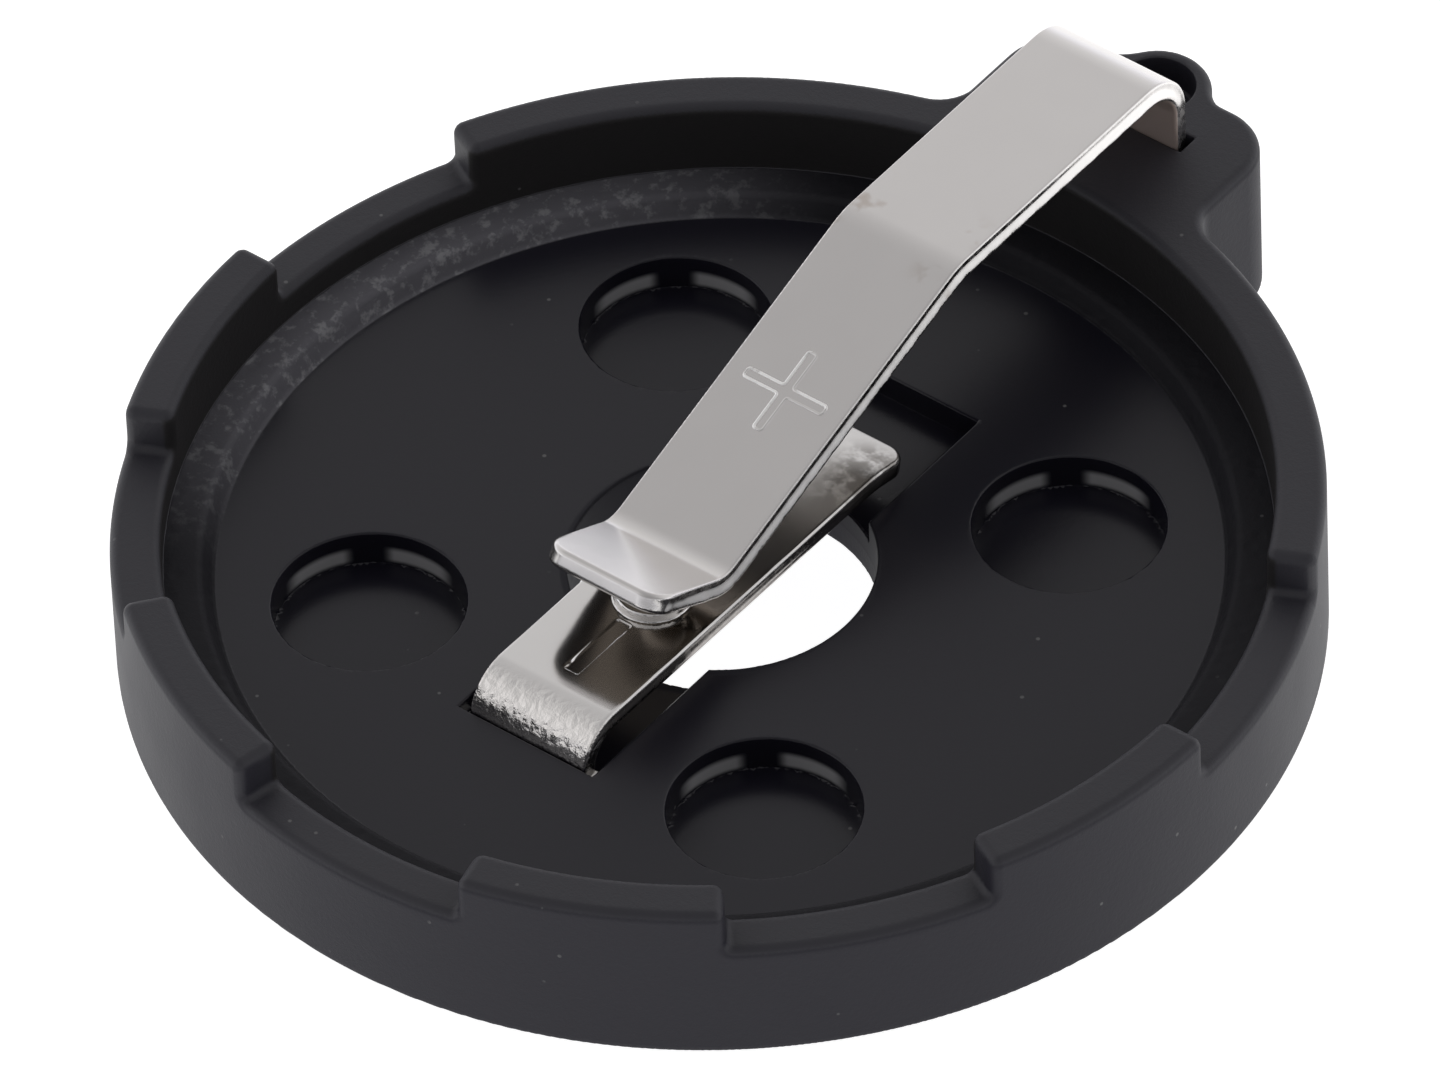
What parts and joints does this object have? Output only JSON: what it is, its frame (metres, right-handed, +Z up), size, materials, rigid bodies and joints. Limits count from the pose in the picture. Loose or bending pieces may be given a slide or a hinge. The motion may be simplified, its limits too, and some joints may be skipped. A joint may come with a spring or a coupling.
{
  "type": "coin cell holder",
  "caption": "Round through-hole holder for a 20 mm coin cell: castellated moulded base, sprung positive arm over the pocket, and a negative leaf in the floor slot.",
  "frame": {"origin": "on the body's axis, in the plane where the base meets the board", "axes": "+X from the body axis towards the lug that holds the positive arm, +Z up out of the pocket, away from the board"},
  "size_m": [0.0257, 0.0224, 0.0086],
  "materials": {
    "moulded_base": "fine matte moulded texture on the rim and outside, smoother on the pocket floor",
    "plated_arm": "nickel-plated spring strip, satin to bright, edges rounded by blanking",
    "plated_leaf": "bright nickel-plated spring strip"
  },
  "bodies": {
    "root": {"base": "moulded_base", "positive_contact": "plated_arm", "negative_contact": "plated_leaf"}
  },
  "joints": []
}
